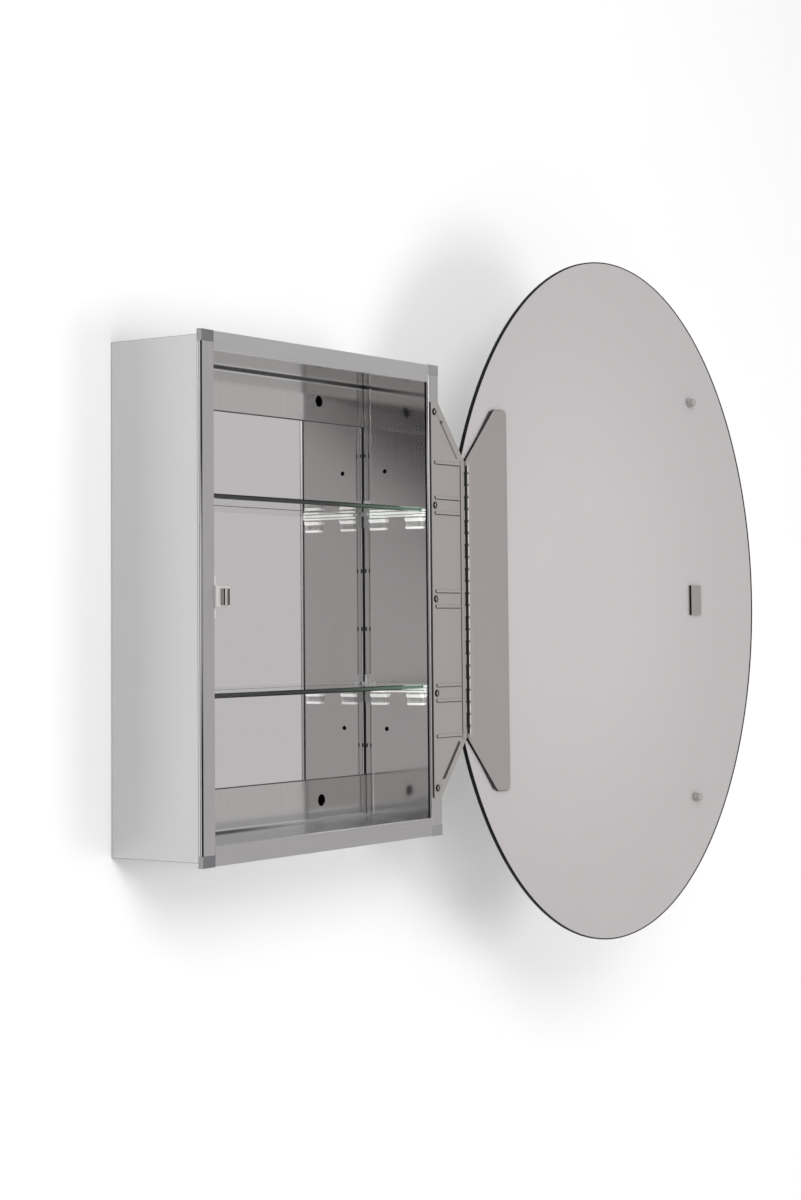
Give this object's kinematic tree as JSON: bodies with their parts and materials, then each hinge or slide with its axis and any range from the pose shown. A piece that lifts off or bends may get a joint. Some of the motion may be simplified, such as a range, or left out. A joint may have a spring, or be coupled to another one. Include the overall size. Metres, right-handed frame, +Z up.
{
  "type": "mirrored medicine cabinet",
  "caption": "Wall-hung mirrored cabinet: steel box with mirrored sides and back, glass shelves on clear clips, and an oval mirror door on a piano hinge with a magnetic catch.",
  "frame": {"origin": "on the wall plane, at the middle of the four wall screw holes", "axes": "+X to the right as one faces the cabinet, +Y into the wall, +Z up"},
  "size_m": [0.9843, 0.2037, 0.7979],
  "materials": {
    "stainless": "satin stainless sheet",
    "frame_metal": "satin bar",
    "cap_plastic": "moulded grey",
    "mirror_glass": "silvered glass, painted back",
    "clear_glass": "polished float glass",
    "clear_plastic": "clear moulded",
    "tape": "foam tape",
    "catch_plastic": "moulded pale grey",
    "magnet": "sintered",
    "bright_steel": "plated steel",
    "hinge_steel": "satin steel",
    "painted_plate": "satin grey"
  },
  "bodies": {
    "cabinet": {"side_wall_left": "stainless", "side_wall_right": "stainless", "box_wall_top": "stainless", "box_wall_bottom": "stainless", "box_cover_top": "stainless", "box_cover_bottom": "stainless", "back_rail_top": "stainless", "back_rail_bottom": "stainless", "back_mirror": "mirror_glass", "backing_sheet": "stainless", "side_mirror_left": "mirror_glass", "side_mirror_right": "mirror_glass", "side_tape_left": "tape", "side_tape_right": "tape", "frame_stile_left": "frame_metal", "frame_stile_right": "frame_metal", "frame_rail_top": "frame_metal", "frame_rail_bottom": "frame_metal", "corner_cap_top_left": "cap_plastic", "corner_cap_top_right": "cap_plastic", "corner_cap_bottom_left": "cap_plastic", "corner_cap_bottom_right": "cap_plastic", "shelf_strip_left": "stainless", "shelf_strip_right": "stainless", "shelf_upper": "clear_glass", "shelf_lower": "clear_glass", "shelf_clips_upper": "clear_plastic", "shelf_clips_lower": "clear_plastic", "shelf_corner_clips_upper": "clear_plastic", "shelf_corner_clips_lower": "clear_plastic", "catch_housing": "catch_plastic", "catch_poles": "bright_steel", "catch_magnet": "magnet", "catch_screws": "bright_steel", "hinge_bracket": "painted_plate", "bracket_screws": "bright_steel", "hinge_leaf_fixed": "hinge_steel", "hinge_pin": "hinge_steel"},
    "door": {"hinge_leaf_door": "hinge_steel", "door_plate": "painted_plate", "door_plate_pad": "tape", "door_mirror": "mirror_glass", "door_bumpers": "clear_plastic", "strike_plate": "bright_steel", "strike_pad": "tape"}
  },
  "joints": [
    {"name": "door_hinge", "type": "hinge", "parent": "cabinet", "child": "door", "pos_m": [0.2526, -0.1167, 0], "axis": [0, 0, 1], "range_deg": [-170, 10]}
  ]
}
